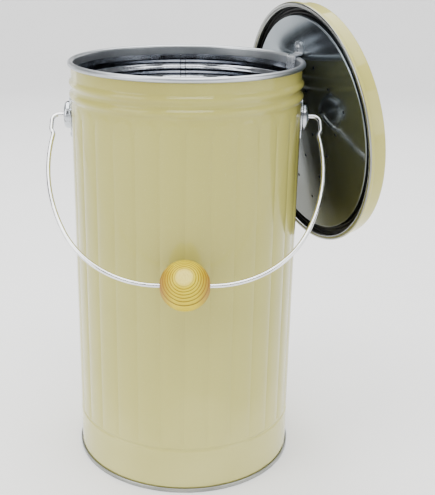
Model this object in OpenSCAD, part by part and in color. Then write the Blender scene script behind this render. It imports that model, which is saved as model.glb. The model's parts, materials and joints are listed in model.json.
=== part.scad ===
// Tall fluted steel pail with a wire bail, a turned wooden grip and a lid that
// hangs on the rim by its strap hook. Millimetres, +Z up. The origin is on the
// pail's axis, at the level it stands on.

/* [Pail] */
// Radius of the wall over the crests of its flutes
wall_r = 105; // [100:1:108]
// Height of the top of the rim
pail_h = 387; // [370:1:430]
// Thickness of the sheet
sheet = 0.8; // [0.6:0.1:1.0]
// Number of flutes round the wall
flute_count = 30; // [24:2:36]
// How far the creases between flutes lie inside their crests
flute_depth = 1.0; // [0.6:0.1:1.0]
// How far the two stiffening beads stand out of the neck
bead_depth = 2.0; // [1:0.1:2.2]
// Height of the seam round the base
chime_h = 4; // [3:0.5:5]

/* [Rim] */
// Diameter of the rolled rim
curl_d = 5; // [4:0.5:6]
// Depth of the bare band that the rim has inside the pail
rim_band_h = 9; // [7:0.5:12]

/* [Bail and grip] */
// Height of the bail's pivots
pivot_z = 335.6; // [334:0.1:337]
// Diameter of the wire
wire_d = 4; // [3:0.5:5]
// Half of the width between the two sides of the bail
bail_half_w = 123; // [121:0.5:126]
// Diameter of the wooden ball
ball_d = 43; // [38:0.5:46]

/* [Ears] */
// Diameter of the raised cap that holds the bail's end
ear_cap_d = 25; // [22:0.5:25]
// How far the cap stands off the wall
ear_cap_h = 6.8; // [6.6:0.1:8]
// How far the plate under the cap reaches above the cap's centre
ear_plate_up = 16.8; // [16.8:0.1:17]
// How far the plate reaches below the cap's centre
ear_plate_down = 21; // [18:0.5:26]

/* [Lid] */
// Outer radius of the lid's rolled edge
lid_r = 114.2; // [114:0.1:116]
// Depth of the lid's skirt, from the middle of its rolled edge
lid_depth = 15.3; // [13:0.1:18]
// Radius of the inner tray
tray_r = 102; // [100:0.5:102]
// Distance between neighbouring vent holes in the tray
vent_pitch = 29; // [26:1:30]
// Diameter of the vent holes
vent_d = 2.6; // [2:0.2:4]
// Diameter of the knob
knob_d = 36; // [30:1:42]

/* [Hung lid] */
// Compass direction in which the hung lid faces away from the pail
lid_azimuth = 22.9; // [20:0.1:26]
// How far the foot of the hung lid leans out
lid_lean = 7.4; // [6:0.1:9]
// Drop of the lid's centre below the top of the rim
lid_drop = 64.3; // [64:0.1:65]
// Offset of the lid's centre along its own width
lid_side = -19.3; // [-22:0.1:-17]
// Turn of the hung lid about its own centre
lid_turn = -3; // [-4:0.5:-2]

/* [Hidden] */
$fn = 96;

paint = "#bdb892";
bare_steel = "#b9bdbf";
honey_wood = "#d9ab5c";
black_rubber = "#1a1a1a";
// clearances: between pieces that lie against each other, between bodies, in a
// turning fit, and between the hung lid's tray and the rim
touch_gap = 0.1;
free_gap = 0.3;
run_gap = 0.06;
lid_gap = 0.8;

// heights and radii of the pail
curl_r = curl_d / 2;
curl_path_r = wall_r - 0.3;
curl_z = pail_h - curl_r;
neck_r = wall_r - 0.5;
bead_zs = [pail_h - 30, pail_h - 19];
bead_half_h = 4.2;
flute_z0 = 46;
flute_z1 = pail_h - 37;
groove_z = 43;
ring_in = wall_r - flute_depth - sheet - touch_gap;
chime_r = wall_r + 1.6;
floor_z = chime_h + 0.5;

// bail: its path runs from the middle of the ball to the end in the right ear
wire_r = wire_d / 2;
low_r = 94;
low_turn = 62;
side_r = 160;
side_over = 9;
kink_r = 6;
kink_turn = 44;
corner_r = 7;
end_x = wall_r + 3.2;
bail_head_r = 3.5;
grip_run = bail_half_w - low_r * sin(low_turn) - side_r * (1 - sin(low_turn));
side_h = low_r * (1 - cos(low_turn)) + side_r * (cos(low_turn) + sin(side_over));
kink_h = kink_r * (cos(90 + side_over - kink_turn) * 2 + sin(side_over));
kink_w = kink_r * (cos(side_over) + 1 - 2 * cos(kink_turn - side_over));
shoulder_x = bail_half_w - side_r * (1 - cos(side_over)) + kink_w;
shoulder_run = 8.2;
bail_len = side_h + kink_h + shoulder_run + corner_r;
bail_path = [["run", grip_run], ["turn", low_r, low_turn],
             ["turn", side_r, 90 - low_turn + side_over], ["turn", -kink_r, kink_turn],
             ["turn", kink_r, kink_turn - side_over], ["run", shoulder_run],
             ["turn", corner_r, 90], ["run", shoulder_x - corner_r - end_x]];
ball_r = ball_d / 2;
rest_angle = asin((wall_r + ball_r + free_gap) / bail_len);

// ears
cap_r = ear_cap_d / 2;
cap_x = wall_r + ear_cap_h;
plate_in_r = wall_r + 2 * touch_gap;
lug_r = 4;
rivet_r = 1.2;
rivet_head_r = 2;
rivet_dzs = [ear_plate_up - rivet_head_r - 0.2, rivet_head_r + 0.8 - ear_plate_down];

// lid, in its own frame: closed way up, z = 0 through the middle of its rolled edge
lid_path_r = lid_r - curl_r;
lid_skirt_r = lid_path_r + 0.1;
tray_z = 0.6;
dome_h = 3;
dome_r = 90;
vent_rows = [-2:2];
vent_cols = [-1.5:1.5];
hook_r = norm([2, 1.5]) * vent_pitch;
vent_turn = atan2(1.5, 2);
hook_rivet_r = 1.5;
filter_r = 90;
filter_h = 10;
screw_r = 2;
cover_top_z = lid_depth + dome_h;
vent_ring_r = 42;

// hook: a strip bent up from the lid's tray, over the rim and down inside the pail
strap_w = 14;
strap_t = 1.2;
strap_bend = 1.2;
tab_out = 78.5;
shelf_in = 65.9;
tail_z = -7.9;
tail_len = 10.5;
tail_lean = 12;

// --- helpers ---

// Moves children from the lid's own frame to where the hung lid is
module hung() {
    lid_z = pail_h - lid_drop;
    rim_contact = curl_path_r + curl_r + lid_gap;
    lid_out = rim_contact + (curl_z - lid_z) * tan(lid_lean) - tray_z / cos(lid_lean);
    rotate([0, 0, lid_azimuth]) translate([lid_out, lid_side, lid_z])
        rotate([0, 90 - lid_lean, 0]) rotate([0, 0, lid_turn]) children();
}

// Turns children about the bail's pivots to its rest position
module bail_frame() {
    translate([0, 0, pivot_z]) rotate([-rest_angle, 0, 0]) children();
}

// Ring with a rectangular section
module band(r_out, r_in, z0, z1) {
    rotate_extrude($fn = 180) translate([r_in, z0]) square([r_out - r_in, z1 - z0]);
}

// Rolled edge: a tube bent to a circle
module curl(path_r, r_out, r_in) {
    rotate_extrude($fn = 180) translate([path_r, 0]) difference() {
        circle(r_out, $fn = 48);
        if (r_in > 0) circle(r_in, $fn = 48);
    }
}

// Outline of the fluted wall: arcs that meet in creases
function flute_points(r_crest, steps = 6) =
    let (half = 180 / flute_count,
         side = (r_crest - flute_depth) * sin(half),
         rise = r_crest - (r_crest - flute_depth) * cos(half),
         arc_r = (side * side + rise * rise) / (2 * rise),
         arc_half = asin(side / arc_r))
    [for (i = [0:flute_count - 1], k = [0:steps - 1])
        let (a = arc_half * (2 * k / steps - 1),
             p = [r_crest - arc_r + arc_r * cos(a), arc_r * sin(a)],
             t = i * 2 * half)
        [p[0] * cos(t) - p[1] * sin(t), p[0] * sin(t) + p[1] * cos(t)]];

// Radius of the neck at height z, with its two rounded beads
function neck_at(z) = neck_r + bead_depth * max([for (b = bead_zs)
    abs(z - b) < bead_half_h ? pow(cos(90 * (z - b) / bead_half_h), 1.2) : 0]);

// Place and heading in the bail's plane after one step of its path
function advance(pose, step) =
    step[0] == "run" ? [pose[0] + step[1] * cos(pose[2]), pose[1] + step[1] * sin(pose[2]), pose[2]]
    : let (r = step[1], h = pose[2], turned = h + sign(r) * step[2])
      [pose[0] + r * (sin(turned) - sin(h)), pose[1] + r * (cos(h) - cos(turned)), turned];
function pose_at(i) = i == 0 ? [0, -bail_len, 0] : advance(pose_at(i - 1), bail_path[i - 1]);

// One straight or bent stretch of the wire
module wire_step(pose, step) {
    if (step[0] == "run")
        translate([pose[0], 0, pose[1]]) rotate([0, 90 - pose[2], 0]) cylinder(r = wire_r, h = step[1]);
    else {
        r = abs(step[1]);
        side = sign(step[1]);
        translate([pose[0] - side * r * sin(pose[2]), 0, pose[1] + side * r * cos(pose[2])])
            rotate([90, 0, 0])
            rotate([0, 0, side > 0 ? pose[2] - 90 : pose[2] + 90 - step[2]])
            rotate_extrude(angle = step[2], $fn = 180) translate([r, 0]) circle(wire_r, $fn = 48);
    }
}

// Collar a hair wider than the wire, so that two stretches of it join as one solid
module weld(pose) {
    translate([pose[0], 0, pose[1]]) rotate([0, 90 - pose[2], 0])
        cylinder(r = wire_r + 0.04, h = 1, center = true);
}

// --- pail ---

module body_shell() {
    ring_out = wall_r + touch_gap;
    lower = [[wall_r, chime_h / 4], [wall_r, groove_z], [wall_r - 0.7, groove_z + 1.5],
             [ring_out, flute_z0 - 0.5], [ring_out, flute_z0 + 0.5], [ring_in, flute_z0 + 0.5],
             [ring_in, groove_z], [wall_r - sheet, groove_z - 1], [wall_r - sheet, chime_h / 4]];
    neck = [for (z = [flute_z1 + 1:1:curl_z - 3]) [neck_at(z), z]];
    neck_in = [for (i = [len(neck) - 1:-1:0]) neck[i] - [sheet, 0]];
    neck_foot = [[ring_in, flute_z1 - 0.5], [ring_out, flute_z1 - 0.5]];
    color(paint) difference() {
        union() {
            rotate_extrude($fn = 180) polygon(lower);
            rotate_extrude($fn = 180) polygon(concat(neck, neck_in, neck_foot));
            translate([0, 0, flute_z0]) linear_extrude(flute_z1 - flute_z0) difference() {
                polygon(flute_points(wall_r));
                polygon(flute_points(wall_r - sheet));
            }
        }
        for (side = [0, 180], dz = rivet_dzs)
            rotate([0, 0, side]) translate([wall_r - 8, 0, pivot_z + dz])
                rotate([0, 90, 0]) cylinder(r = rivet_r + touch_gap, h = 16);
    }
}

module rim_ring() {
    band_r = neck_r - sheet - touch_gap;
    color(bare_steel) union() {
        translate([0, 0, curl_z]) curl(curl_path_r, curl_r, curl_r - sheet);
        band(band_r, band_r - sheet, pail_h - rim_band_h, curl_z - 1.5);
    }
}

module rim_wire() {
    color(bare_steel) translate([0, 0, curl_z]) curl(curl_path_r, curl_r - sheet - 0.2, 0);
}

module base_pan() {
    slot_in = wall_r - sheet - touch_gap;
    slot_out = wall_r + touch_gap;
    color(bare_steel) union() {
        band(chime_r, slot_out, 0, chime_h);
        band(chime_r, slot_in - sheet, 0, 0.7);
        band(slot_in, slot_in - sheet, 0, floor_z + sheet);
        translate([0, 0, floor_z]) cylinder(r = slot_in - sheet / 2, h = sheet, $fn = 180);
    }
}

// Pressed ear on the +X side: a plate that follows the wall and a hollow round cap
module ear() {
    round_r = 3.5;
    plate_x = wall_r - 12;
    translate([0, 0, pivot_z]) difference() {
        union() {
            intersection() {
                translate([0, 0, -ear_plate_down]) difference() {
                    cylinder(r = plate_in_r + 1, h = 2 * ear_plate_down, $fn = 180);
                    translate([0, 0, -1]) cylinder(r = plate_in_r, h = 2 * ear_plate_down + 2, $fn = 180);
                }
                translate([plate_x, 0, 0]) rotate([0, 90, 0]) union() {
                    cylinder(r = cap_r + 1.5, h = 20);
                    for (end = [lug_r - ear_plate_up, ear_plate_down - lug_r]) {
                        translate([end, 0, 0]) cylinder(r = lug_r, h = 20);
                        translate([end / 2, 0, 10]) cube([abs(end), 2 * lug_r, 20], center = true);
                    }
                }
            }
            difference() {
                rotate([0, 90, 0]) rotate_extrude($fn = 96) union() {
                    translate([0, plate_x]) square([cap_r, cap_x - round_r - plate_x]);
                    square([cap_r - round_r, cap_x]);
                    translate([cap_r - round_r, cap_x - round_r]) circle(round_r, $fn = 48);
                }
                translate([0, 0, -ear_plate_down]) cylinder(r = plate_in_r, h = 2 * ear_plate_down, $fn = 180);
            }
        }
        translate([plate_x, 0, 0]) rotate([0, 90, 0]) cylinder(r = cap_r - 1.2, h = cap_x - 3.4 - plate_x);
        translate([plate_x, 0, 0]) rotate([0, 90, 0]) cylinder(r = cap_r - 3.2, h = cap_x - 1 - plate_x);
        rotate([0, 90, 0]) cylinder(r = wire_r + run_gap, h = cap_x + 5);
        for (dz = rivet_dzs)
            translate([plate_x, 0, dz]) rotate([0, 90, 0]) cylinder(r = rivet_r + touch_gap, h = 20);
    }
}

module ear_left() {
    color(bare_steel) rotate([0, 0, 180]) ear();
}

module ear_right() {
    color(bare_steel) ear();
}

// The two rivets of the ear on the +X side
module ear_rivets() {
    head_x = plate_in_r + 1 + touch_gap;
    for (dz = rivet_dzs) {
        tail_x = (dz > 0 ? ring_in : wall_r - sheet) - touch_gap - 1;
        translate([tail_x, 0, pivot_z + dz]) rotate([0, 90, 0]) rotate_extrude($fn = 48) union() {
            square([rivet_r, head_x - tail_x + 0.5]);
            square([rivet_head_r, 1]);
            translate([0, head_x - tail_x]) intersection() {
                square([rivet_head_r, 1.2]);
                translate([0, -1.4]) circle(2.5, $fn = 64);
            }
        }
    }
}

module ear_rivets_left() {
    color(bare_steel) rotate([0, 0, 180]) ear_rivets();
}

module ear_rivets_right() {
    color(bare_steel) ear_rivets();
}

// --- bail ---

module bail_wire() {
    color(bare_steel) bail_frame() union() {
        translate([0, 0, -bail_len]) rotate([0, 90, 0]) cylinder(r = wire_r, h = 2 * grip_run, center = true);
        for (side = [0, 1]) mirror([side, 0, 0]) {
            for (i = [1:len(bail_path) - 1]) {
                wire_step(pose_at(i), bail_path[i]);
                weld(pose_at(i));
            }
            translate([end_x, 0, 0]) rotate([0, 90, 0]) cylinder(r = bail_head_r, h = 1.5);
        }
    }
}

module grip_ball() {
    flat_x = sqrt(ball_r * ball_r - 9);
    color(honey_wood) bail_frame() translate([0, 0, -bail_len]) rotate([0, 90, 0]) difference() {
        sphere(ball_r, $fn = 128);
        cylinder(r = wire_r + run_gap, h = 2 * ball_d, center = true);
        for (s = [-1, 1]) translate([0, 0, s * (flat_x + 5)]) cylinder(r = 6, h = 10, center = true);
    }
}

// --- lid ---

module lid_cover() {
    corner = 2.5;
    seat_z = lid_depth - sheet;
    color(paint) hung() difference() {
        union() {
            rotate_extrude($fn = 180) difference() {
                union() {
                    translate([0, curl_r + touch_gap])
                        square([lid_skirt_r, lid_depth - corner - curl_r - touch_gap]);
                    translate([0, lid_depth - corner]) square([lid_skirt_r - corner, corner]);
                    translate([lid_skirt_r - corner, lid_depth - corner]) circle(corner, $fn = 48);
                    polygon([[0, seat_z], [dome_r + dome_h + 2, seat_z], [dome_r + dome_h, lid_depth],
                             [dome_r, cover_top_z], [0, cover_top_z]]);
                }
                square([lid_skirt_r - sheet, seat_z]);
                polygon([[-1, seat_z - 1], [dome_r + dome_h, seat_z - 1], [dome_r + dome_h, seat_z],
                         [dome_r, cover_top_z - sheet], [-1, cover_top_z - sheet]]);
            }
        }
        cylinder(r = screw_r + touch_gap, h = 2 * lid_depth);
        for (a = [0:30:330])
            rotate([0, 0, a]) translate([vent_ring_r, 0, seat_z - 2]) cylinder(r = 1.5, h = 8, $fn = 24);
    }
}

module lid_rim_ring() {
    lip_r = lid_skirt_r - sheet - touch_gap;
    color(bare_steel) hung() union() {
        curl(lid_path_r, curl_r, curl_r - sheet);
        band(lip_r, lip_r - sheet, 1.7, 8);
    }
}

module lid_rim_wire() {
    color(bare_steel) hung() curl(lid_path_r, curl_r - sheet - 0.2, 0);
}

module lid_inner_tray() {
    color(bare_steel) hung() difference() {
        rotate_extrude($fn = 180) difference() {
            union() {
                translate([0, tray_z]) square([tray_r - 1.5, 5]);
                translate([0, tray_z + 1.5]) square([tray_r, lid_depth - sheet - touch_gap - tray_z - 1.5]);
                translate([tray_r - 1.5, tray_z + 1.5]) circle(1.5, $fn = 32);
            }
            translate([-1, tray_z + sheet]) square([tray_r - sheet + 1, 20]);
        }
        rotate([0, 0, vent_turn]) for (i = vent_rows, j = vent_cols)
            if (!(i == -2 && j == 1.5))
                translate([i * vent_pitch, j * vent_pitch, -5]) cylinder(r = vent_d / 2, h = 10, $fn = 24);
        translate([-hook_r, 0, -5]) cylinder(r = hook_rivet_r + touch_gap, h = 10);
    }
}

module lid_seal() {
    seal_out = lid_skirt_r - 2 * sheet - 2 * touch_gap;
    seal_in = tray_r + touch_gap;
    half_w = (seal_out - seal_in) / 2;
    color(black_rubber) hung() rotate_extrude($fn = 180) union() {
        translate([seal_in, 8.2]) square([2 * half_w, lid_depth - sheet - touch_gap - 8.2]);
        translate([seal_in + half_w, 8.2]) circle(half_w, $fn = 48);
    }
}

module charcoal_filter() {
    color(black_rubber) hung() translate([0, 0, tray_z + sheet + touch_gap]) difference() {
        cylinder(r = filter_r, h = filter_h, $fn = 128);
        translate([0, 0, -1]) cylinder(r = 10, h = filter_h + 2);
        translate([-hook_r, 0, -1]) cylinder(r = 4, h = filter_h + 2);
    }
}

module hang_hook() {
    turn_r = strap_bend + strap_t;
    module bend(z, out, start) {
        translate([-out, strap_w / 2, z]) rotate([90, 0, 0]) rotate([0, 0, start])
            rotate_extrude(angle = 90, $fn = 96) translate([strap_bend, 0]) square([strap_t, strap_w]);
    }
    tab_z = tray_z - strap_t;
    top_r = strap_w / 2;
    tab_low = shelf_in + turn_r;
    shelf_end = tail_z + strap_bend;
    color(bare_steel) hung() difference() {
        union() {
            translate([-tab_out + top_r, -top_r, tab_z]) cube([tab_out - top_r - tab_low, strap_w, strap_t]);
            translate([-tab_out + top_r, 0, tab_z]) cylinder(r = top_r, h = strap_t);
            bend(tab_z - strap_bend, tab_low, 0);
            translate([-shelf_in - strap_t, -top_r, shelf_end])
                cube([strap_t, strap_w, tab_z - strap_bend - shelf_end]);
            bend(shelf_end, shelf_in - strap_bend, 180);
            translate([-shelf_in + strap_bend, -top_r, tail_z]) rotate([0, tail_lean, 0])
                translate([0, 0, -strap_t]) cube([tail_len, strap_w, strap_t]);
            translate([-shelf_in + strap_bend, 0, tail_z]) rotate([90, 0, 0])
                cylinder(r = strap_t, h = strap_w, center = true);
        }
        translate([-hook_r, 0, -5]) cylinder(r = hook_rivet_r + touch_gap, h = 10);
        translate([-shelf_in, -strap_w, tail_z + 0.001]) cube([10, 2 * strap_w, 5]);
    }
}

module hook_rivet() {
    front_z = tray_z - strap_t;
    back_z = tray_z + sheet;
    color(bare_steel) hung() translate([-hook_r, 0, 0]) union() {
        translate([0, 0, front_z - 0.5]) cylinder(r = hook_rivet_r, h = back_z - front_z + 1.2);
        rotate_extrude($fn = 48) intersection() {
            translate([0, front_z - 1.6]) square([2.8, 1.5]);
            translate([0, front_z + 1.5]) circle(3.1, $fn = 64);
        }
        translate([0, 0, back_z + 0.1]) cylinder(r = 2.6, h = 0.8);
    }
}

module knob_washer() {
    color(bare_steel) hung() translate([0, 0, cover_top_z + touch_gap]) difference() {
        cylinder(r = 9, h = 1);
        translate([0, 0, -1]) cylinder(r = screw_r + touch_gap, h = 3);
    }
}

module lid_knob() {
    knob_z = cover_top_z + 1 + 2 * touch_gap;
    knob_r = knob_d / 2;
    color(honey_wood) hung() translate([0, 0, knob_z]) difference() {
        union() {
            rotate_extrude($fn = 96) intersection() {
                translate([0, knob_r - 4]) circle(knob_r, $fn = 96);
                square([knob_r, 2 * knob_r - 4]);
            }
            cylinder(r = 8.5, h = 4);
        }
        translate([0, 0, -1]) cylinder(r = screw_r + 0.05, h = 17);
    }
}

module knob_screw() {
    head_z = cover_top_z - sheet - touch_gap - 2;
    color(bare_steel) hung() translate([0, 0, head_z]) union() {
        cylinder(r = 4, h = 2);
        cylinder(r = screw_r, h = 18);
    }
}

body_shell();
rim_ring();
rim_wire();
base_pan();
ear_left();
ear_right();
ear_rivets_left();
ear_rivets_right();
bail_wire();
grip_ball();
lid_cover();
lid_rim_ring();
lid_rim_wire();
lid_inner_tray();
lid_seal();
charcoal_filter();
hang_hook();
hook_rivet();
lid_knob();
knob_screw();
knob_washer();
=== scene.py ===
import json
import math

import bmesh
import bpy
import numpy as np
from mathutils import Matrix, Vector


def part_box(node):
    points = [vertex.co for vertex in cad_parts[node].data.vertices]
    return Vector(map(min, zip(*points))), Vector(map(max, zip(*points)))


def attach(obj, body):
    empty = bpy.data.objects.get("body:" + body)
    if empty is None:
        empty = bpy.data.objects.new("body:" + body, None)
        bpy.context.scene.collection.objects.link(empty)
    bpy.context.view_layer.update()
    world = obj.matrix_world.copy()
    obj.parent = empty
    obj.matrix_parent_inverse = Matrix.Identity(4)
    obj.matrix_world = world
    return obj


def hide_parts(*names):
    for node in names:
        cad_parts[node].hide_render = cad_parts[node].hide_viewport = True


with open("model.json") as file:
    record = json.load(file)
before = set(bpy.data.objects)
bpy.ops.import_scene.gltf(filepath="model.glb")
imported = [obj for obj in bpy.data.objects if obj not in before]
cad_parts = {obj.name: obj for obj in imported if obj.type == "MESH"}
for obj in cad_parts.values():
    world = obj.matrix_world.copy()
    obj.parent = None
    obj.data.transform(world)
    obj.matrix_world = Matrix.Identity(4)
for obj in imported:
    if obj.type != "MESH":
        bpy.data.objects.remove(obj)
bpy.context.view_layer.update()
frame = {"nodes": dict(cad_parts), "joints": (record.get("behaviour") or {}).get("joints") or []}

MM = 0.001  # shapes are drawn in millimetres and scaled to metres as their mesh is made

# --- what the frame says -------------------------------------------------------------------


def joint(name):
    """The frame's entry for one joint."""
    return next(j for j in frame["joints"] if j["name"] == name)


PIVOT = Vector(joint("bail_swing")["pos_m"]) / MM
GRIP = Vector(joint("grip_spin")["pos_m"]) / MM
PAIL_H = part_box("rim_ring")[1].z / MM
CHIME_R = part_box("base_pan")[1].x / MM
BALL_D = (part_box("grip_ball")[1].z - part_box("grip_ball")[0].z) / MM


def lid_matrix():
    """The lid's own frame, from its ring and its hook's rivet: Z out of its top, -X to the hook."""
    ring = np.array([v.co for v in frame["nodes"]["lid_rim_wire"].data.vertices])
    centre = Vector((ring.max(0) + ring.min(0)) / 2)
    normal = Vector(np.linalg.svd(ring - np.array(centre), full_matrices=False)[2][2])
    if normal.dot(sum(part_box("lid_knob"), Vector()) / 2 - centre) < 0:
        normal.negate()
    hook = sum(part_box("hook_rivet"), Vector()) / 2 - centre
    x = -(hook - normal * hook.dot(normal)).normalized()
    y = normal.cross(x)
    return Matrix.Translation(centre) @ Matrix((x, y, normal)).transposed().to_4x4()


LID = lid_matrix()

# --- driving dimensions, in millimetres ----------------------------------------------------

SHEET = 0.8
WALL_R = CHIME_R - 1.6
CURL_R = 2.5
CURL_PATH_R = WALL_R - 0.3
CURL_Z = PAIL_H - CURL_R
NECK_R = WALL_R - 0.5
BEAD_ZS = (PAIL_H - 30, PAIL_H - 19)
BEAD_HALF = 4.2
BEAD_OUT = 2.0
FLUTES = 30
FLUTE_DEPTH = 0.95
FLUTE_FOOT = 46
FLUTE_TOP = PAIL_H - 36
ARCH_DROP = 11
GROOVE_Z = 44.8
GROOVE_DEPTH = 0.9
GROOVE_HALF = 1.9
CRIMP = 0.8
SEAM_AZIMUTH = 92
SEAM_HALF_TURN = 1.5
SEAM_DEPTH = 0.9
CHIME_H = 4
FLOOR_Z = 4.5
BAND_H = 9
GAP = 0.1  # between pieces that lie against each other

WIRE_R = 2.0
BAIL_HALF_W = 123
CAP_R = 12.5
LUG_R = 4
RIVET_R = 1.2
RIVET_HEAD_R = 2.0
CAP_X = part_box("ear_right")[1].x / MM
BAIL_END_X = WALL_R + 3.2
BAIL_HEAD_R = 3.5
BAIL_HEAD_H = 1.5
PLATE_R = WALL_R + 1.2

LID_PATH_R = 111.7
SKIRT_R = 111.8
LID_DEPTH = 15.3
TRAY_R = 102
TRAY_Z = 0.6
DOME_H = 3
DOME_R = 90
VENT_PITCH = 29
VENT_R = 1.6
COVER_VENT_R = 1.5
COVER_VENT_RING_R = 42
HOOK_R = 72.5
KNOB_D = 36
SCREW_R = 2
SCREW_HOLE_R = 2.1

# --- mesh helpers --------------------------------------------------------------------------


def make_piece(name, verts, faces, material, smooth=35, matrix=Matrix(), inner=None):
    """A mesh piece from millimetre points, which matrix takes to their place in metres.

    inner=(faces, material) gives some faces a second material."""
    mesh = bpy.data.meshes.new(name)
    mesh.from_pydata([matrix @ (Vector(v) * MM) for v in verts], [], faces)
    mesh.materials.append(material)
    if inner:
        mesh.materials.append(inner[1])
        for i in inner[0]:
            mesh.polygons[i].material_index = 1
    bm = bmesh.new()
    bm.from_mesh(mesh)
    bmesh.ops.remove_doubles(bm, verts=bm.verts, dist=1e-7)
    bmesh.ops.recalc_face_normals(bm, faces=bm.faces)
    bm.to_mesh(mesh)
    bm.free()
    mesh.polygons.foreach_set("use_smooth", [True] * len(mesh.polygons))
    mesh.set_sharp_from_angle(angle=math.radians(smooth))
    piece = bpy.data.objects.new(name, mesh)
    bpy.context.scene.collection.objects.link(piece)
    return piece


def weigh_normals(piece):
    """Keeps flat faces flat beside small rounds."""
    weighted = piece.modifiers.new("weighted normals", "WEIGHTED_NORMAL")
    weighted.keep_sharp = True


def thicken(piece, thickness, offset, rounding):
    """Gives an open surface the thickness of its sheet, with rounded edges, in millimetres."""
    sheet = piece.modifiers.new("sheet", "SOLIDIFY")
    sheet.thickness = thickness * MM
    sheet.offset = offset
    edges = piece.modifiers.new("edges", "BEVEL")
    edges.width = rounding * MM
    edges.segments = 2
    edges.limit_method = "ANGLE"
    edges.angle_limit = math.radians(50)
    weigh_normals(piece)


def arc(cx, cz, r, a0, a1, steps):
    """Points on an arc from a0 to a1 degrees."""
    turn = [math.radians(a0 + (a1 - a0) * i / steps) for i in range(steps + 1)]
    return [(cx + r * math.cos(t), cz + r * math.sin(t)) for t in turn]


def fillet(points, steps=5, loop=True):
    """Rounds the corners of an outline: a point (x, z, r) becomes an arc of radius r."""
    out = []
    n = len(points)
    for i, p in enumerate(points):
        if len(p) == 2 or (not loop and i in (0, n - 1)):
            out.append((p[0], p[1]))
            continue
        here = Vector(p[:2])
        back = (Vector(points[i - 1][:2]) - here).normalized()
        on = (Vector(points[(i + 1) % n][:2]) - here).normalized()
        half = back.angle(on) / 2
        run = p[2] / math.tan(half)
        centre = here + (back + on).normalized() * (p[2] / math.sin(half))
        start = here + back * run - centre
        end = here + on * run - centre
        for k in range(steps + 1):
            out.append(tuple(centre + start.slerp(end, k / steps).normalized() * p[2]))
    return out


def revolve(outline, steps, loop=True, first=0):
    """Vertices and faces of an outline of (radius, height) turned about Z.

    A loop is closed on itself, and first is the number of the first vertex."""
    n = len(outline)
    verts, faces = [], []
    for i in range(steps):
        a = 2 * math.pi * i / steps
        verts += [(r * math.cos(a), r * math.sin(a), z) for r, z in outline]
    for i in range(steps):
        j = (i + 1) % steps
        for k in range(n if loop else n - 1):
            m = (k + 1) % n
            faces.append((first + i * n + k, first + j * n + k, first + j * n + m, first + i * n + m))
    return verts, faces


def lathe(name, outline, material, steps, loop=True, smooth=35, matrix=Matrix()):
    """A piece turned about Z, which keeps its flat faces flat."""
    verts, faces = revolve(outline, steps, loop)
    piece = make_piece(name, verts, faces, material, smooth, matrix)
    weigh_normals(piece)
    return piece


def pierced_sheet(radius, steps, holes, z_front, z_back, hole_steps=20):
    """A flat round sheet with real holes, open at its outer edge, where a lathed outline joins it."""
    bm = bmesh.new()
    loops = []
    for cx, cy, r, count in [(0, 0, radius, steps)] + [(x, y, r, hole_steps) for x, y, r in holes]:
        turns = [2 * math.pi * i / count for i in range(count)]
        ring = [bm.verts.new((cx + r * math.cos(t), cy + r * math.sin(t), z_front)) for t in turns]
        loops.append([bm.edges.new((ring[i], ring[(i + 1) % count])) for i in range(count)])
    bmesh.ops.triangle_fill(bm, use_beauty=True, edges=[e for loop in loops for e in loop])
    bm.verts.index_update()
    verts = [tuple(v.co) for v in bm.verts]
    front = [tuple(v.index for v in f.verts) for f in bm.faces]
    walls = [tuple(v.index for v in e.verts) for loop in loops[1:] for e in loop]
    bm.free()
    n = len(verts)
    faces = front + [tuple(i + n for i in reversed(f)) for f in front]
    faces += [(a, b, b + n, a + n) for a, b in walls]
    return verts + [(x, y, z_back) for x, y, _ in verts], faces


def place(piece, body, slot, node):
    """Puts a piece on its body, in the place of its CAD node, which it hides. The slot is not used."""
    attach(piece, body)
    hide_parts(node)


# --- materials -----------------------------------------------------------------------------


def srgb(r, g, b):
    """Linear colour from 0-255 values."""
    linear = [((c / 255 + 0.055) / 1.055) ** 2.4 if c > 10 else c / 255 / 12.92 for c in (r, g, b)]
    return *linear, 1.0


def grey(level):
    """Linear grey."""
    return level, level, level, 1.0


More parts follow.
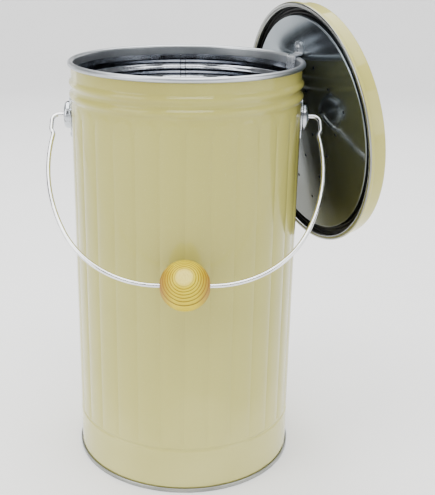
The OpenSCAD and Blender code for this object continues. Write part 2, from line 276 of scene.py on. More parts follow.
class Look:
    """A material under construction: its shader, and short calls for the nodes that feed it."""

    def __init__(self, name, home=Matrix(), **sockets):
        self.material = bpy.data.materials.new(name)
        self.material.use_nodes = True
        self.tree = self.material.node_tree
        self.shader = self.tree.nodes["Principled BSDF"]
        for socket, value in sockets.items():
            self.shader.inputs[socket.replace("_", " ")].default_value = value
        self.place = self.node("ShaderNodeMapping", {
            "Vector": self.node("ShaderNodeTexCoord").outputs["Object"],
            "Location": home.to_translation(), "Rotation": home.to_euler()}, vector_type="TEXTURE").outputs[0]

    def node(self, kind, inputs=(), **properties):
        made = self.tree.nodes.new(kind)
        for key, value in properties.items():
            setattr(made, key, value)
        for key, value in dict(inputs).items():
            if isinstance(value, bpy.types.NodeSocket):
                self.tree.links.new(value, made.inputs[key])
            else:
                made.inputs[key].default_value = value
        return made

    def math(self, operation, a, b=0.0):
        return self.node("ShaderNodeMath", {0: a, 1: b}, operation=operation).outputs[0]

    def stretched(self, x, y, z, place=None):
        """The place scaled along each axis."""
        return self.node("ShaderNodeMapping", {"Vector": place or self.place, "Scale": (x, y, z)}).outputs[0]

    def coordinates(self, place=None):
        """X, Y and Z of the place."""
        return self.node("ShaderNodeSeparateXYZ", {0: place or self.place}).outputs

    def off_axis(self, x, y):
        """Distance from the Z axis."""
        return self.math("SQRT", self.math("ADD", self.math("MULTIPLY", x, x), self.math("MULTIPLY", y, y)))

    def around(self, radial, turn, height):
        """The place as distance from the Z axis, turn round it and height, each scaled."""
        x, y, z = self.coordinates()
        return self.node("ShaderNodeCombineXYZ", {
            0: self.math("MULTIPLY", self.off_axis(x, y), radial),
            1: self.math("MULTIPLY", self.math("ARCTAN2", y, x), turn),
            2: self.math("MULTIPLY", z, height)}).outputs[0]

    def noise(self, scale, detail=3.0, place=None, distortion=0.0):
        return self.node("ShaderNodeTexNoise", {
            "Vector": place or self.place, "Scale": scale, "Detail": detail,
            "Distortion": distortion}).outputs["Fac"]

    def cells(self, scale):
        """Crystal-like patches, each with its own grey."""
        made = self.node("ShaderNodeTexVoronoi", {"Vector": self.place, "Scale": scale})
        return self.node("ShaderNodeSeparateColor", {0: made.outputs["Color"]}).outputs[0]

    def spread(self, value, low, high, out_low, out_high):
        """Maps low..high of a value to out_low..out_high."""
        return self.node("ShaderNodeMapRange", {
            "Value": value, "From Min": low, "From Max": high,
            "To Min": out_low, "To Max": out_high}).outputs["Result"]

    def ramp(self, value, *stops):
        """Colours at positions of a value."""
        made = self.node("ShaderNodeValToRGB", {"Fac": value})
        elements = made.color_ramp.elements
        while len(elements) < len(stops):
            elements.new(0.5)
        for element, (position, color) in zip(elements, stops):
            element.position = position
            element.color = color
        return made.outputs["Color"]

    def blend(self, factor, a, b):
        return self.node("ShaderNodeMix", {0: factor, 6: a, 7: b}, data_type="RGBA").outputs[2]

    def drive(self, socket, value):
        self.tree.links.new(value, self.shader.inputs[socket])
        return self

    def bump(self, *heights):
        """Each height is (value, strength, distance in millimetres)."""
        normal = None
        for value, strength, distance in heights:
            inputs = {"Height": value, "Strength": strength, "Distance": distance * MM}
            if normal is not None:
                inputs["Normal"] = normal
            normal = self.node("ShaderNodeBump", inputs).outputs["Normal"]
        return self.drive("Normal", normal)


def cream_paint(name, *stops):
    """Glossy stoved enamel, a little uneven, with faint dust and fine scuffs.

    The stops give its colour at shares of the pail's height, which paints shade and light into it by height."""
    look = Look(name, Coat_Weight=1.0, Coat_Roughness=0.03, Coat_IOR=1.33, Specular_IOR_Level=0.1)
    cloud = look.noise(9, 4)
    speck = look.noise(900, 2)
    height = look.math("DIVIDE", look.coordinates()[2], PAIL_H * MM)
    level = look.math("ADD", height, look.spread(cloud, 0.3, 0.7, 0.1, -0.1))
    # painted shade and light: the colour follows the stops by height, not the lamps
    tone = look.ramp(level, *stops)
    dust = look.spread(speck, 0.62, 0.75, 0.0, 0.25)
    look.drive("Base Color", look.blend(dust, tone, srgb(194, 189, 126)))
    look.drive("Roughness", look.spread(look.noise(40, 5), 0.3, 0.7, 0.28, 0.42))
    look.bump((look.noise(350, 2), 0.05, 0.3), (look.noise(28, 2), 0.12, 1.0))
    return look.material


def galvanised(name, base, rough):
    """Zinc with a soft spangle, cloudy and lightly rubbed."""
    look = Look(name, Metallic=1.0)
    low = tuple(int(c * 0.86) for c in base)
    high = tuple(min(255, int(c * 1.1)) for c in base)
    crystals = look.cells(95)
    cloud = look.noise(22, 5)
    tone = look.blend(0.3, cloud, crystals)
    look.drive("Base Color", look.ramp(tone, (0.3, srgb(*low)), (0.7, srgb(*high))))
    look.drive("Roughness", look.math("ADD", look.spread(crystals, 0, 1, -0.02, 0.02),
                                      look.spread(cloud, 0.3, 0.7, rough - 0.07, rough + 0.07)))
    look.bump((look.noise(60, 4), 0.08, 0.5), (look.noise(700, 2), 0.04, 0.1))
    return look.material


def bare_steel(name, base, rough, home=Matrix()):
    """Bright rolled steel with fine lines that run round the piece."""
    look = Look(name, home, Metallic=1.0)
    lines = look.noise(1.0, 3, place=look.around(3000, 1.5, 3000))
    cloud = look.noise(30, 4)
    low = tuple(int(c * 0.88) for c in base)
    look.drive("Base Color", look.ramp(cloud, (0.3, srgb(*low)), (0.65, srgb(*base))))
    look.drive("Roughness", look.spread(lines, 0.3, 0.7, rough - 0.02, rough + 0.03))
    look.bump((lines, 0.02, 0.05))
    return look.material


def bright_wire():
    """Zinc-plated spring wire with faint drawing marks."""
    look = Look("bright_wire", Metallic=1.0)
    cloud = look.noise(60, 4)
    look.drive("Base Color", look.ramp(cloud, (0.3, srgb(212, 213, 214)), (0.7, srgb(236, 237, 237))))
    look.drive("Roughness", look.spread(look.noise(400, 3), 0.3, 0.7, 0.08, 0.18))
    look.bump((look.noise(500, 3), 0.05, 0.1))
    return look.material


def tray_metal():
    """The lid's panel: polished sheet, cloudy, with painted shade that darkens it away from the hook, and
    faint rubbing marks.
    """
    look = Look("tray_metal", LID, Metallic=0.93)
    cloud = look.noise(14, 5, distortion=0.6)
    bright = look.ramp(cloud, (0.3, srgb(112, 120, 126)), (0.7, srgb(142, 150, 155)))
    # painted shade: the panel's colour darkens towards its foot, away from the hook, standing in for the
    # darker light it reflects there
    foot = look.spread(look.coordinates()[0], -0.06, 0.07, 0.0, 1.0)
    look.drive("Base Color", look.blend(foot, bright, srgb(84, 86, 80)))
    rub = look.noise(1.0, 4, place=look.stretched(60, 900, 60))
    look.drive("Roughness", look.math("ADD", look.spread(cloud, 0.3, 0.7, 0.12, 0.19),
                                      look.spread(rub, 0.4, 0.8, 0.0, 0.05)))
    look.bump((look.noise(16, 2), 0.05, 1.0), (look.noise(300, 3), 0.02, 0.1))
    return look.material


def seal_rubber():
    """Black moulded rubber with a low sheen."""
    look = Look("seal_rubber", Specular_IOR_Level=0.2)
    look.drive("Base Color", look.ramp(look.noise(60, 3), (0.3, srgb(5, 5, 5)), (0.7, srgb(13, 13, 13))))
    look.drive("Roughness", look.spread(look.noise(90, 4), 0.3, 0.7, 0.34, 0.5))
    look.bump((look.noise(400, 3), 0.05, 0.1))
    return look.material


def turned_wood(name, pole, ring_gap, home):
    """Lacquered softwood with growth rings round the axis to the pole, and painted shade that darkens it
    towards both ends of X.
    """
    look = Look(name, home, Coat_Weight=0.06, Coat_Roughness=0.12, Specular_IOR_Level=0.15)
    turn = Vector((0, 0, 1)).rotation_difference(Vector(pole)).inverted().to_euler()
    along = look.node("ShaderNodeMapping", {"Vector": look.place, "Rotation": turn}).outputs[0]
    x, y, _ = look.coordinates(along)
    off_axis = look.off_axis(x, y)
    wobble = look.math("MULTIPLY", look.math("SUBTRACT", look.noise(38, 2), 0.5), 0.0011)
    rings = look.math("FRACT", look.math("DIVIDE", look.math("ADD", off_axis, wobble), ring_gap * MM))
    late = look.ramp(rings, (0.0, grey(0.1)), (0.5, grey(0.2)), (0.84, grey(1)), (0.96, grey(0.1)))
    late = look.math("MULTIPLY", late, look.spread(off_axis, 0.0065, 0.0085, 0.12, 1.0))
    fibre = look.noise(1.0, 4, place=look.stretched(2600, 260, 2600, along))
    tone = look.ramp(look.noise(40, 3), (0.3, srgb(216, 190, 12)), (0.7, srgb(226, 208, 34)))
    ringed = look.blend(look.math("MULTIPLY", late, 0.95), tone, srgb(70, 44, 0))
    heart = look.blend(look.spread(off_axis, 0.0055, 0.0085, 0.6, 0.0), ringed, srgb(228, 214, 128))
    # painted shade: darker, more orange sides towards both ends of X
    side = look.math("ABSOLUTE", look.coordinates()[0])
    shaded_sides = look.blend(look.spread(side, 0.009, 0.0205, 0.0, 0.85), heart, srgb(132, 80, 0))
    fine = look.blend(look.spread(fibre, 0.45, 0.75, 0.0, 0.35), shaded_sides, srgb(156, 108, 14))
    look.drive("Base Color", fine)
    look.drive("Roughness", look.spread(fibre, 0.3, 0.7, 0.36, 0.52))
    look.bump((late, 0.15, 0.2), (fibre, 0.12, 0.1))
    return look.material


def filter_felt():
    """Charcoal felt."""
    look = Look("filter_felt", Roughness=0.95)
    look.drive("Base Color", look.ramp(look.noise(900, 3), (0.3, srgb(16, 16, 16)), (0.7, srgb(44, 44, 44))))
    look.bump((look.noise(1200, 3), 0.6, 0.4))
    return look.material


def pale_floor():
    """Matt pale paper."""
    look = Look("pale_floor", Roughness=0.7)
    look.drive("Base Color", look.ramp(look.noise(3, 3), (0.3, grey(0.9)), (0.7, grey(0.93))))
    return look.material


# painted shade and light: the wall's stops run lighter at the foot and darker towards the top
PAINT = cream_paint("cream_paint", (0.0, srgb(193, 188, 117)), (0.25, srgb(177, 172, 96)),
                    (0.5, srgb(169, 164, 89)), (0.88, srgb(167, 162, 87)), (1.0, srgb(157, 150, 76)))
# painted light: a lighter copy of the same enamel for the lid, darkening slightly by height
LID_PAINT_LIT_COPY = cream_paint("cream_paint_lid_lit_copy", (0.6, srgb(181, 176, 99)), (1.1, srgb(175, 169, 91)))
INSIDE = galvanised("galvanised_inside", (172, 176, 183), 0.13)
BASE_ZINC = galvanised("galvanised_base", (226, 226, 228), 0.3)
RIM_STEEL = bare_steel("rim_steel", (184, 188, 192), 0.34)
CHIME_STEEL = bare_steel("chime_steel", (160, 162, 158), 0.3)
LID_STEEL = bare_steel("lid_steel", (142, 143, 140), 0.2, LID)
EAR_STEEL = bare_steel("ear_steel", (196, 201, 206), 0.18)
STRAP_STEEL = galvanised("strap_steel", (184, 188, 192), 0.22)
WIRE = bright_wire()
TRAY = tray_metal()
SEAL = seal_rubber()
BALL_WOOD = turned_wood("ball_wood", (-0.035, -0.746, 0.665), 2.05, Matrix.Translation(GRIP * MM))
KNOB_WOOD = turned_wood("knob_wood", (0.9, 0.3, 0.3), 2.1, LID)
FELT = filter_felt()


# --- the pail ------------------------------------------------------------------------------


def smooth_step(x):
    """An S-shaped step from 0 to 1."""
    x = min(1.0, max(0.0, x))
    return x * x * (3 - 2 * x)


def bead(z):
    """How far the neck's two rounded beads stand out at height z."""
    shares = [min(1.0, abs(z - b) / BEAD_HALF) for b in BEAD_ZS]
    return BEAD_OUT * max(math.cos(math.pi / 2 * share) ** 1.2 for share in shares)


def wall_radius(azimuth, z):
    """Outer radius of the wall: plain foot, groove, flutes with round tops, neck and beads."""
    pitch = 360 / FLUTES
    u = abs((azimuth / pitch + 0.5) % 1 - 0.5) * 2
    groove_share = min(1.0, abs(z - GROOVE_Z) / GROOVE_HALF)
    groove = GROOVE_DEPTH * math.cos(math.pi / 2 * groove_share)
    crimp = CRIMP * smooth_step((CHIME_H + 1.4 - z) / 1.2)
    if z < FLUTE_FOOT:
        return WALL_R - groove - crimp
    arch_z = FLUTE_TOP - ARCH_DROP * (1 - math.sqrt(max(0.0, 1 - u * u)))
    lobe = WALL_R - FLUTE_DEPTH * u ** 3
    foot = smooth_step((z - FLUTE_FOOT) / 2.5)
    top = smooth_step((arch_z - z) / 4)
    plain = NECK_R + bead(z)
    return (WALL_R * (1 - foot) + lobe * foot - groove) * top + plain * (1 - top)


def seam(azimuth, z):
    """How far the lock seam stands in from the wall, inside the pail."""
    across = abs(azimuth - SEAM_AZIMUTH)
    fade = smooth_step((z - 8) / 2) * smooth_step((PAIL_H - 9.4 - z) / 0.8)
    return SEAM_DEPTH * smooth_step((SEAM_HALF_TURN - across) / 0.35) * fade


def build_wall():
    """The wall, outside and inside, with its rows of points closer where its shape turns."""
    pitch = 360 / FLUTES
    shares = [0, 0.22, 0.42, 0.6, 0.74, 0.85, 0.93, 0.975]  # of the way from a flute's crest to its crease
    azimuths = []
    for i in range(FLUTES):
        azimuths += [i * pitch + s * pitch / 2 for s in shares]
        azimuths += [(i + 1) * pitch - s * pitch / 2 for s in [1.0] + shares[:0:-1]]
    azimuths += [SEAM_AZIMUTH + s * (SEAM_HALF_TURN + d) for s in (-1, 1) for d in (-0.35, -0.2, 0, 0.12)]
    azimuths = sorted(set(round(a, 4) for a in azimuths))
    levels = [1, 2, 3, 4.2, 4.5, 4.8, 5.1, 5.4, 6, 10, 20, 30, 38, 42]
    levels += [GROOVE_Z + GROOVE_HALF * t / 5 for t in range(-5, 6)]
    levels += [47.4, 48.2, 49, 52, 60, 80, 110, 140, 170, 200, 230, 260, 290, 315, 328, 334]
    levels += list(np.arange(336, FLUTE_TOP + 1.5, 0.75))
    levels += list(np.arange(FLUTE_TOP + 2, PAIL_H - 13, 0.7))
    levels += [PAIL_H - drop for drop in (12.5, 11, 10.2, 9.4, 8, 6, 5.1)]
    verts = []
    for i, z in enumerate(levels + levels[::-1]):
        for azimuth in azimuths:
            r = wall_radius(azimuth, z)
            if i >= len(levels):
                r -= SHEET + seam(azimuth, z)
            a = math.radians(azimuth)
            verts.append((r * math.cos(a), r * math.sin(a), z))
    n = len(azimuths)
    rows = 2 * len(levels)
    faces = []
    for i in range(rows):
        j = (i + 1) % rows
        faces += [(i * n + k, i * n + (k + 1) % n, j * n + (k + 1) % n, j * n + k) for k in range(n)]
    inner_faces = range((len(levels) - 1) * n, len(faces))
    wall = make_piece("pail_wall", verts, faces, PAINT, 40, inner=(inner_faces, INSIDE))
    place(wall, "pail", "cream_paint", "body_shell")


def build_rim():
    """The rolled rim: one sheet that comes up inside the mouth and rolls out over its wire."""
    band_r = CURL_PATH_R - CURL_R
    foot_z = PAIL_H - BAND_H
    outline = [(band_r + 0.25, foot_z), (band_r + 0.05, foot_z + 0.3)]
    outline += arc(CURL_PATH_R, CURL_Z, CURL_R, 180, -108, 40)
    outline += arc(CURL_PATH_R, CURL_Z, CURL_R - SHEET, -108, 180, 32)
    outline += [(band_r + SHEET, foot_z + 0.3), (band_r + SHEET - 0.2, foot_z)]
    rim = lathe("rim_curl", outline, RIM_STEEL, 240)
    place(rim, "pail", "bare_steel", "rim_ring")


def build_base():
    """The bottom and its double seam, with the slot that the wall's foot sits in."""
    slot_in = WALL_R - SHEET - GAP
    slot_out = WALL_R + GAP
    outline = fillet([
        (0, FLOOR_Z), (slot_in - SHEET, FLOOR_Z, 0.4), (slot_in - SHEET, 0, 0.6), (CHIME_R, 0, 0.6),
        (CHIME_R, CHIME_H, 0.7), (slot_out, CHIME_H), (slot_out, 0.8), (slot_in, 0.8),
        (slot_in, FLOOR_Z + 1.6), (slot_in - SHEET, FLOOR_Z + 1.6), (slot_in - SHEET, FLOOR_Z + SHEET, 0.5),
        (0, FLOOR_Z + SHEET)], loop=False)
    base = lathe("base_pan_seamed", outline, BASE_ZINC, 240, loop=False)
    base.data.materials.append(CHIME_STEEL)
    for face in base.data.polygons:
        if math.hypot(face.center.x, face.center.y) > WALL_R * MM:
            face.material_index = 1
    place(base, "pail", "galvanised", "base_pan")


def lug_reach(turn, length, half_w):
    """Distance from the cap's centre to the edge of a round-ended lug, in one direction."""
    across, along = abs(math.cos(turn)), math.sin(turn)
    if along <= 0:
        return 0.0
    if across > 1e-6 and half_w / across * along < length - half_w:
        return half_w / across
    centre = length - half_w
    return centre * along + math.sqrt(max(0.0, half_w ** 2 - (centre * across) ** 2))


def build_ear(name, azimuth, node):
    """A pressed ear: plate, round cap and the hole for the bail, drawn from one sheet."""
    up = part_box("ear_right")[1].z / MM - PIVOT.z
    down = PIVOT.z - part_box("ear_right")[0].z / MM
    round_r = 3.5
    rim_r = CAP_R + 1.5
    profile = [(WIRE_R + GAP, CAP_X - 0.35), (WIRE_R + 0.4, CAP_X - 0.05), (WIRE_R + 0.9, CAP_X)]
    profile += [(CAP_R - round_r - 0.1, CAP_X)] + arc(CAP_R - round_r, CAP_X - round_r, round_r, 90, 0, 8)
    cove = [(0, 2.6), (0.05, 1.0), (0.3, 0.4), (0.8, 0.08)]  # from the cap's wall out to the plate
    steps = 96
    verts = []
    rings = []
    for i in range(steps):
        turn = 2 * math.pi * i / steps
        edge = max(rim_r, lug_reach(turn, up, LUG_R), lug_reach(-turn, down, LUG_R))
        if edge < rim_r + 0.7:
            edge = ((rim_r ** 14 + edge ** 14) / 2) ** (1 / 14)
        base_x = math.sqrt(PLATE_R ** 2 - (CAP_R * math.cos(turn)) ** 2)
        ring = profile + [(CAP_R + out, base_x + rise) for out, rise in cove]
        for share in (0.0, 0.35, 0.7, 1.0):
            rho = CAP_R + 1.2 + share * (edge - CAP_R - 1.2)
            ring.append((rho, math.sqrt(PLATE_R ** 2 - (rho * math.cos(turn)) ** 2)))
        row = []
        for rho, x in ring:
            row.append(len(verts))
            verts.append((x, rho * math.cos(turn), PIVOT.z + rho * math.sin(turn)))
        rings.append(row)
    faces = [(rings[i][k], rings[(i + 1) % steps][k], rings[(i + 1) % steps][k + 1], rings[i][k + 1])
             for i in range(steps) for k in range(len(rings[0]) - 1)]
    ear = make_piece(name, verts, faces, EAR_STEEL, 50, Matrix.Rotation(math.radians(azimuth), 4, "Z"))
    thicken(ear, thickness=0.95, offset=-1, rounding=0.2)
    place(ear, "pail", "bare_steel", node)


def build_ear_rivets(name, azimuth, node):
    """Two domed rivets through an ear's lugs, each with its tail head inside the wall."""
    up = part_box("ear_rivets_right")[1].z / MM - RIVET_HEAD_R
    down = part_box("ear_rivets_right")[0].z / MM + RIVET_HEAD_R
    head_x = PLATE_R + 0.05
    tail_x = NECK_R - SHEET - 1.2
    outline = [(0, tail_x), (RIVET_HEAD_R - 0.4, tail_x), (RIVET_HEAD_R, tail_x + 0.35)]
    outline += [(RIVET_HEAD_R, tail_x + 1), (RIVET_R, tail_x + 1), (RIVET_R, head_x), (RIVET_HEAD_R, head_x)]
    outline += [(RIVET_HEAD_R * math.cos(t), head_x + 0.15 + 0.95 * math.sin(t))
                for t in np.linspace(0, math.pi / 2, 9)]
    verts, faces = [], []
    for z in (up, down):
        v, f = revolve(outline, 40, False, len(verts))
        verts += [(h, -y, z + x) for x, y, h in v]
        faces += f
    rivets = make_piece(name, verts, faces, STRAP_STEEL, 40, Matrix.Rotation(math.radians(azimuth), 4, "Z"))
    place(rivets, "pail", "bare_steel", node)


# --- the bail ------------------------------------------------------------------------------


def bail_path():
    """Points and headings from the middle of the ball to the bail's end in one ear, in its plane."""
    low_r, low_turn = 94, 62
    side_r, side_over = 160, 9
    kink_r, kink_turn = 6, 44
    corner_r, shoulder = 7, 8.2
    low, over, kink = (math.radians(a) for a in (low_turn, side_over, kink_turn))
    grip_run = BAIL_HALF_W - low_r * math.sin(low) - side_r * (1 - math.sin(low))
    kink_w = kink_r * (math.cos(over) + 1 - 2 * math.cos(kink - over))
    shoulder_x = BAIL_HALF_W - side_r * (1 - math.cos(over)) + kink_w
    end_run = shoulder_x - corner_r - BAIL_END_X - BAIL_HEAD_H
    steps = [(grip_run, 0), (low_r, low_turn), (side_r, 90 - low_turn + side_over), (-kink_r, kink_turn),
             (kink_r, kink_turn - side_over), (shoulder, 0), (corner_r, 90), (end_run, 0)]
    x, z, heading = 0.0, -math.hypot(GRIP.y - PIVOT.y, GRIP.z - PIVOT.z), 0.0
    points = [(x, z, heading)]
    for size, turn in steps:
        count = 6 if turn == 0 else max(6, int(turn / 3))
        for i in range(1, count + 1):
            if turn == 0:
                a = heading
                px = x + size * i / count * math.cos(a)
                pz = z + size * i / count * math.sin(a)
            else:
                a = heading + math.copysign(math.radians(turn * i / count), size)
                px = x + size * (math.sin(a) - math.sin(heading))
                pz = z + size * (math.cos(heading) - math.cos(a))
            points.append((px, pz, a))
        x, z, heading = points[-1]
    return points


def bail_matrix():
    """The bail's own frame: its pivots at the origin, its plane in XZ."""
    down = GRIP - PIVOT
    rest = math.atan2(-down.y, -down.z)
    return Matrix.Translation(Vector((GRIP.x, PIVOT.y, PIVOT.z)) * MM) @ Matrix.Rotation(-rest, 4, "X")


def build_bail():
    """The bent wire with a flat head on each end, which keeps it in its ear."""
    head = [(BAIL_HEAD_H, BAIL_HEAD_R - 0.1), (BAIL_HEAD_H - 0.15, BAIL_HEAD_R), (0.2, BAIL_HEAD_R),
            (0, BAIL_HEAD_R - 0.2)]
    half = [(p, WIRE_R) for p in bail_path()]
    half += [((BAIL_END_X + out, 0, math.pi), r) for out, r in head]
    path = [((-x, z, -a), r) for (x, z, a), r in half[:0:-1]] + half
    sides = 24
    verts, rings = [], []
    for (x, z, a), r in path:
        side = (-math.sin(a), math.cos(a))
        row = []
        for k in range(sides):
            t = 2 * math.pi * k / sides
            row.append(len(verts))
            verts.append((x + r * math.cos(t) * side[0], r * math.sin(t), z + r * math.cos(t) * side[1]))
        rings.append(row)
    faces = [(rings[i][k], rings[i][(k + 1) % sides], rings[i + 1][(k + 1) % sides], rings[i + 1][k])
             for i in range(len(rings) - 1) for k in range(sides)]
    faces += [tuple(rings[0][::-1]), tuple(rings[-1])]
    bail = make_piece("bail_wire_bent", verts, faces, WIRE, 50, bail_matrix())
    place(bail, "bail", "wire", "bail_wire")


def build_ball():
    """The turned ball, bored through, its bore's mouths lightly sunk."""
    r = BALL_D / 2
    bore = WIRE_R + 0.06
    sunk = 3.2
    outline = [p for p in arc(0, 0, r, -90, 90, 72) if p[0] > sunk]
    edge_z = math.sqrt(r * r - sunk * sunk)
    outline = ([(bore, -edge_z + 1.2), (bore + 0.3, -edge_z + 0.6), (sunk - 0.3, -edge_z + 0.05)] + outline
               + [(sunk - 0.3, edge_z - 0.05), (bore + 0.3, edge_z - 0.6), (bore, edge_z - 1.2)])
    verts, faces = revolve(outline, 128)
    verts = [(z, y, -x) for x, y, z in verts]
    ball = make_piece("grip_ball_turned", verts, faces, BALL_WOOD, 50, Matrix.Translation(GRIP * MM))
    place(ball, "grip", "pale_wood", "grip_ball")


# --- the lid -------------------------------------------------------------------------------


def build_lid_cover():
    """The painted lid: skirt, rounded shoulder, raised middle and a ring of vent holes."""
    steps = 240
    flat_r = 60
    top = LID_DEPTH + DOME_H
    outline = fillet([
        (flat_r, top), (DOME_R, top, 2.5), (DOME_R + DOME_H, LID_DEPTH, 2.5), (SKIRT_R, LID_DEPTH, 2.5),
        (SKIRT_R, CURL_R + GAP), (SKIRT_R - SHEET, CURL_R + GAP), (SKIRT_R - SHEET, LID_DEPTH - SHEET, 1.7),
        (DOME_R + DOME_H, LID_DEPTH - SHEET, 2.5), (DOME_R, top - SHEET, 2.5), (flat_r, top - SHEET)],
        steps=7, loop=False)
    verts, faces = revolve(outline, steps, False)
    across = len(outline) - 1
    inner = [i for i in range(len(faces)) if i % across > len(outline) // 2 - 1]
    turns = np.radians(np.arange(0, 360, 30))
    holes = [(COVER_VENT_RING_R * math.cos(a), COVER_VENT_RING_R * math.sin(a), COVER_VENT_R) for a in turns]
    disc, disc_faces = pierced_sheet(flat_r, steps, holes + [(0, 0, SCREW_HOLE_R)], top, top - SHEET)
    faces += [tuple(i + len(verts) for i in f) for f in disc_faces]
    cover = make_piece("lid_cover_painted", verts + disc, faces, LID_PAINT_LIT_COPY, 35, LID, inner=(inner, INSIDE))
    weigh_normals(cover)
    place(cover, "lid", "cream_paint", "lid_cover")


def build_lid_rim():
    """The lid's rolled edge and the lip behind it, painted where the roll meets the skirt."""
    lip = SKIRT_R - SHEET - GAP
    start = math.degrees(math.acos((lip - SHEET - LID_PATH_R) / CURL_R))
    outline = [(lip, 8), (lip - SHEET, 8)]
    outline += arc(LID_PATH_R, 0, CURL_R, start, 430, 48)
    outline += arc(LID_PATH_R, 0, CURL_R - SHEET, 430, start + 10, 36)
    outline += [(lip, 1.9)]
    rim = lathe("lid_curl", outline, LID_STEEL, 240, matrix=LID)
    rim.data.materials.append(LID_PAINT_LIT_COPY)
    home = LID.inverted()
    for face in rim.data.polygons:
        at = home @ face.center / MM
        if at.z > -0.5 * CURL_R and math.hypot(at.x, at.y) > LID_PATH_R:
            face.material_index = 1
    place(rim, "lid", "bare_steel", "lid_rim_ring")


def build_tray():
    """The inner panel: a shallow tray with a rounded edge and a grid of small holes."""
    steps = 240
    flat_r = TRAY_R - 2.2
    outline = fillet([
        (flat_r, TRAY_Z), (TRAY_R, TRAY_Z, 1.5), (TRAY_R, LID_DEPTH - SHEET - GAP),
        (TRAY_R - SHEET, LID_DEPTH - SHEET - GAP), (TRAY_R - SHEET, TRAY_Z + SHEET, 0.8),
        (flat_r, TRAY_Z + SHEET)], steps=7, loop=False)
    verts, faces = revolve(outline, steps, False)
    turn = Matrix.Rotation(math.atan2(1.5, 2), 2)
    grid = [(i, j) for i in (-2, -1, 0, 1, 2) for j in (-1.5, -0.5, 0.5, 1.5)]
    grid.remove((-2, 1.5))  # where the hook's rivet is
    holes = [(*(turn @ Vector(cell) * VENT_PITCH), VENT_R) for cell in grid]
    disc, disc_faces = pierced_sheet(flat_r, steps, holes, TRAY_Z, TRAY_Z + SHEET)
    faces += [tuple(i + len(verts) for i in f) for f in disc_faces]
    tray = make_piece("lid_tray", verts + disc, faces, TRAY, 35, LID)
    weigh_normals(tray)
    place(tray, "lid", "galvanised", "lid_inner_tray")


def build_seal():
    """Moulded ring between the tray and the skirt, with a shallow channel and two lips."""
    inner_r, outer_r = TRAY_R + GAP, SKIRT_R - 2 * SHEET - 2 * GAP
    back = LID_DEPTH - SHEET - GAP
    outline = fillet([
        (inner_r, back), (inner_r, 4.6, 1.0), (inner_r + 2.2, 4.6, 0.8), (inner_r + 3.0, 6.4, 1.0),
        (outer_r - 2.6, 6.4, 1.0), (outer_r - 1.8, 4.3, 0.7), (outer_r, 4.3, 0.7), (outer_r, back)], steps=5)
    seal = lathe("lid_seal_ring", outline, SEAL, 240, matrix=LID)
    place(seal, "lid", "black_seal", "lid_seal")


def build_hook():
    """The strap hook: a tab on the tray, a shelf over the rim and a tail inside the pail."""
    half_w, bend, lean = 7.0, 1.8, 12
    tip_x, fold_x, shelf_x = -78.5, -68.3, -66.5
    shelf_z0, shelf_z1 = -bend, -6.7
    turns = np.linspace(0, math.pi / 2, 12)
    path = [(tip_x + half_w * (1 - math.cos(t)), 0.0, half_w * math.sin(t)) for t in turns]
    path += [(x, 0.0, half_w) for x in (-70.2, -69.0)]
    path += [(x, z, half_w) for x, z in arc(fold_x, shelf_z0, bend, 90, 0, 8)]
    path += [(shelf_x, z, half_w) for z in (-3.3, -4.8)]
    path += [(x, z, half_w) for x, z in arc(shelf_x + bend, shelf_z1, bend, 180, 270 - lean, 8)]
    x0, z0, _ = path[-1]
    tail, taper = 10.75, 0.7
    for share in (0.25, 0.5, 0.75, 0.93, 1.0):
        x = x0 + tail * share * math.cos(math.radians(lean))
        z = z0 - tail * share * math.sin(math.radians(lean))
        path.append((x, z, half_w if share < 1 else half_w - taper))
    across = (-1, -0.85, -0.4, 0, 0.4, 0.85, 1)
    verts = [(x, w * c, z) for x, z, w in path for c in across]
    n = len(across)
    faces = [(i * n + k, i * n + k + 1, (i + 1) * n + k + 1, (i + 1) * n + k)
             for i in range(len(path) - 1) for k in range(n - 1)]
    hook = make_piece("hook_strap", verts, faces, STRAP_STEEL, 50, LID)
    thicken(hook, thickness=1.2, offset=0, rounding=0.25)
    place(hook, "lid", "bare_steel", "hang_hook")


def build_hook_rivet():
    """The domed rivet through the hook's tab and the tray."""
    head_r, shank_r, tail_r = 2.7, 1.5, 2.6
    front = TRAY_Z - 1.2
    back = TRAY_Z + SHEET + GAP
    turns = np.linspace(0.15, math.pi / 2, 9)
    outline = [(0, front - 1.15)]
    outline += [(head_r * math.sin(t), front - 0.1 - 1.05 * math.cos(t)) for t in turns]
    outline += [(head_r, front - 0.05), (shank_r, front - 0.05), (shank_r, back), (tail_r, back),
                (tail_r, back + 0.7), (0, back + 0.8)]
    home = LID @ Matrix.Translation(Vector((-HOOK_R, 0, 0)) * MM)
    rivet = lathe("hook_rivet_domed", outline, RIM_STEEL, 48, False, 40, home)
    place(rivet, "lid", "bare_steel", "hook_rivet")


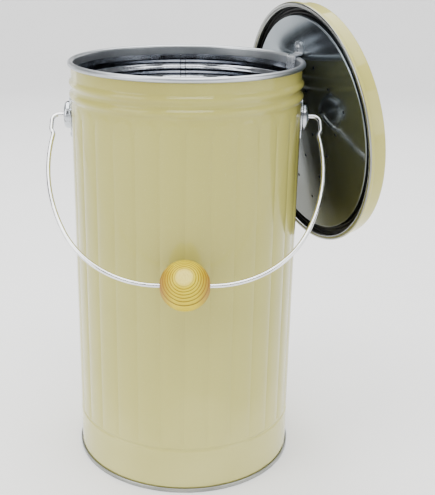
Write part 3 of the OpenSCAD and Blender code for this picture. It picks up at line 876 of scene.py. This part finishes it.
def build_knob():
    """Turned wooden knob with a waist, on a washer, held by a screw from inside."""
    seat = LID_DEPTH + DOME_H + 1.2
    r = KNOB_D / 2
    sunk, bore_depth = 4, 16
    outline = [(SCREW_HOLE_R, seat), (8.2, seat), (8.5, seat + 0.4), (8.3, seat + 2.0), (9.4, seat + 3.6)]
    outline += arc(0, seat + r - sunk, r, -48, 84, 22)
    outline += [(0, seat + 2 * r - sunk), (0, seat + bore_depth), (SCREW_HOLE_R, seat + bore_depth)]
    knob = lathe("lid_knob_turned", outline, KNOB_WOOD, 96, True, 40, LID)
    place(knob, "lid", "pale_wood", "lid_knob")

    washer_r = 9
    outline = fillet([(SCREW_HOLE_R, seat - 1.1), (washer_r, seat - 1.1, 0.2), (washer_r, seat - 0.3, 0.3),
                      (SCREW_HOLE_R, seat - GAP)])
    washer = lathe("knob_washer_domed", outline, RIM_STEEL, 64, True, 40, LID)
    place(washer, "lid", "bare_steel", "knob_washer")

    head, head_r, slot_r = LID_DEPTH + DOME_H - SHEET - GAP, 4, 0.9
    outline = [(0, head - 1.6), (slot_r, head - 1.6), (slot_r, head - 2), (head_r - 0.6, head - 2),
               (head_r, head - 1.3), (head_r, head), (SCREW_R, head), (SCREW_R, head + 15), (0, head + 16)]
    bolt = lathe("knob_screw_panhead", outline, WIRE, 48, False, 40, LID)
    place(bolt, "lid", "wire", "knob_screw")


# --- build ---------------------------------------------------------------------------------

build_wall()
build_rim()
build_base()
build_ear("ear_right_pressed", 0, "ear_right")
build_ear("ear_left_pressed", 180, "ear_left")
build_ear_rivets("ear_rivets_right_domed", 0, "ear_rivets_right")
build_ear_rivets("ear_rivets_left_domed", 180, "ear_rivets_left")
build_bail()
build_ball()
build_lid_cover()
build_lid_rim()
build_tray()
build_seal()
build_hook()
build_hook_rivet()
build_knob()


def dress(node, material):
    """A CAD node whose shape is right keeps it and gets a better material."""
    mesh = frame["nodes"][node].data
    mesh.materials.clear()
    mesh.materials.append(material)


dress("rim_wire", WIRE)
dress("lid_rim_wire", WIRE)
dress("charcoal_filter", FELT)


# --- stage, light and camera ---------------------------------------------------------------


def build_floor():
    """A pale round floor whose edge sweeps up all round the object."""
    centre_r, flat_r, sweep_r = 400, 2200, 1100
    steps = 96
    outline = [(centre_r, 0), (flat_r, 0)] + arc(flat_r, sweep_r, sweep_r, -90, 0, 24)[1:]
    verts, faces = revolve(outline, steps, False)
    faces.append(tuple(i * len(outline) for i in range(steps)))
    make_piece("floor", verts, faces, pale_floor(), 60)


def area_light(name, place_m, aim_m, size, power):
    """A soft lamp, in metres and watts, that the camera doesn't see."""
    data = bpy.data.lights.new(name, "AREA")
    data.shape = "RECTANGLE"
    data.size, data.size_y = size
    data.energy = power
    light = bpy.data.objects.new(name, data)
    light.location = place_m
    light.rotation_euler = (Vector(aim_m) - Vector(place_m)).to_track_quat("-Z", "Y").to_euler()
    light.visible_camera = False
    bpy.context.scene.collection.objects.link(light)


build_floor()
area_light("key_left", (-1.6, -1.0, 1.1), (0, 0, 0.2), (1.2, 1.4), 27)
area_light("fill_right", (1.9, -1.2, 0.9), (0, 0, 0.2), (1.0, 1.4), 16)
area_light("top", (0, 0.4, 2.4), (0, 0.3, 0), (3.2, 3.0), 165)
area_light("front_top", (0.1, -1.3, 1.9), (0, 0, 0.3), (1.3, 0.3), 14)
area_light("edge_left", (-1.2, 1.35, 0.6), (0, 0, 0.2), (0.35, 1.4), 2)
area_light("edge_right", (1.2, 1.35, 0.6), (0, 0, 0.2), (0.35, 1.4), 2)

world = bpy.data.worlds.new("studio")
bpy.context.scene.world = world
world.use_nodes = True
world_light = world.node_tree.nodes["Background"]
world_light.inputs["Color"].default_value = grey(1)
world_light.inputs["Strength"].default_value = 0.3

# the photo's view, as fitted to the rim, the base seam, the ears and the lid
EYE = (0, -0.8158, 0.49947)
PITCH_DOWN = 19.87
ROLL = 0.42
camera_data = bpy.data.cameras.new("camera")
camera_data.lens = 64.94
camera_data.sensor_width = 36
camera_data.shift_x = 0.0652
camera_data.shift_y = 0.0029
camera = bpy.data.objects.new("camera", camera_data)
camera.matrix_world = (Matrix.Translation(EYE) @ Matrix.Rotation(math.radians(90 - PITCH_DOWN), 4, "X")
                       @ Matrix.Rotation(math.radians(ROLL), 4, "Z"))
bpy.context.scene.collection.objects.link(camera)
bpy.context.scene.camera = camera

bpy.context.view_layer.update()
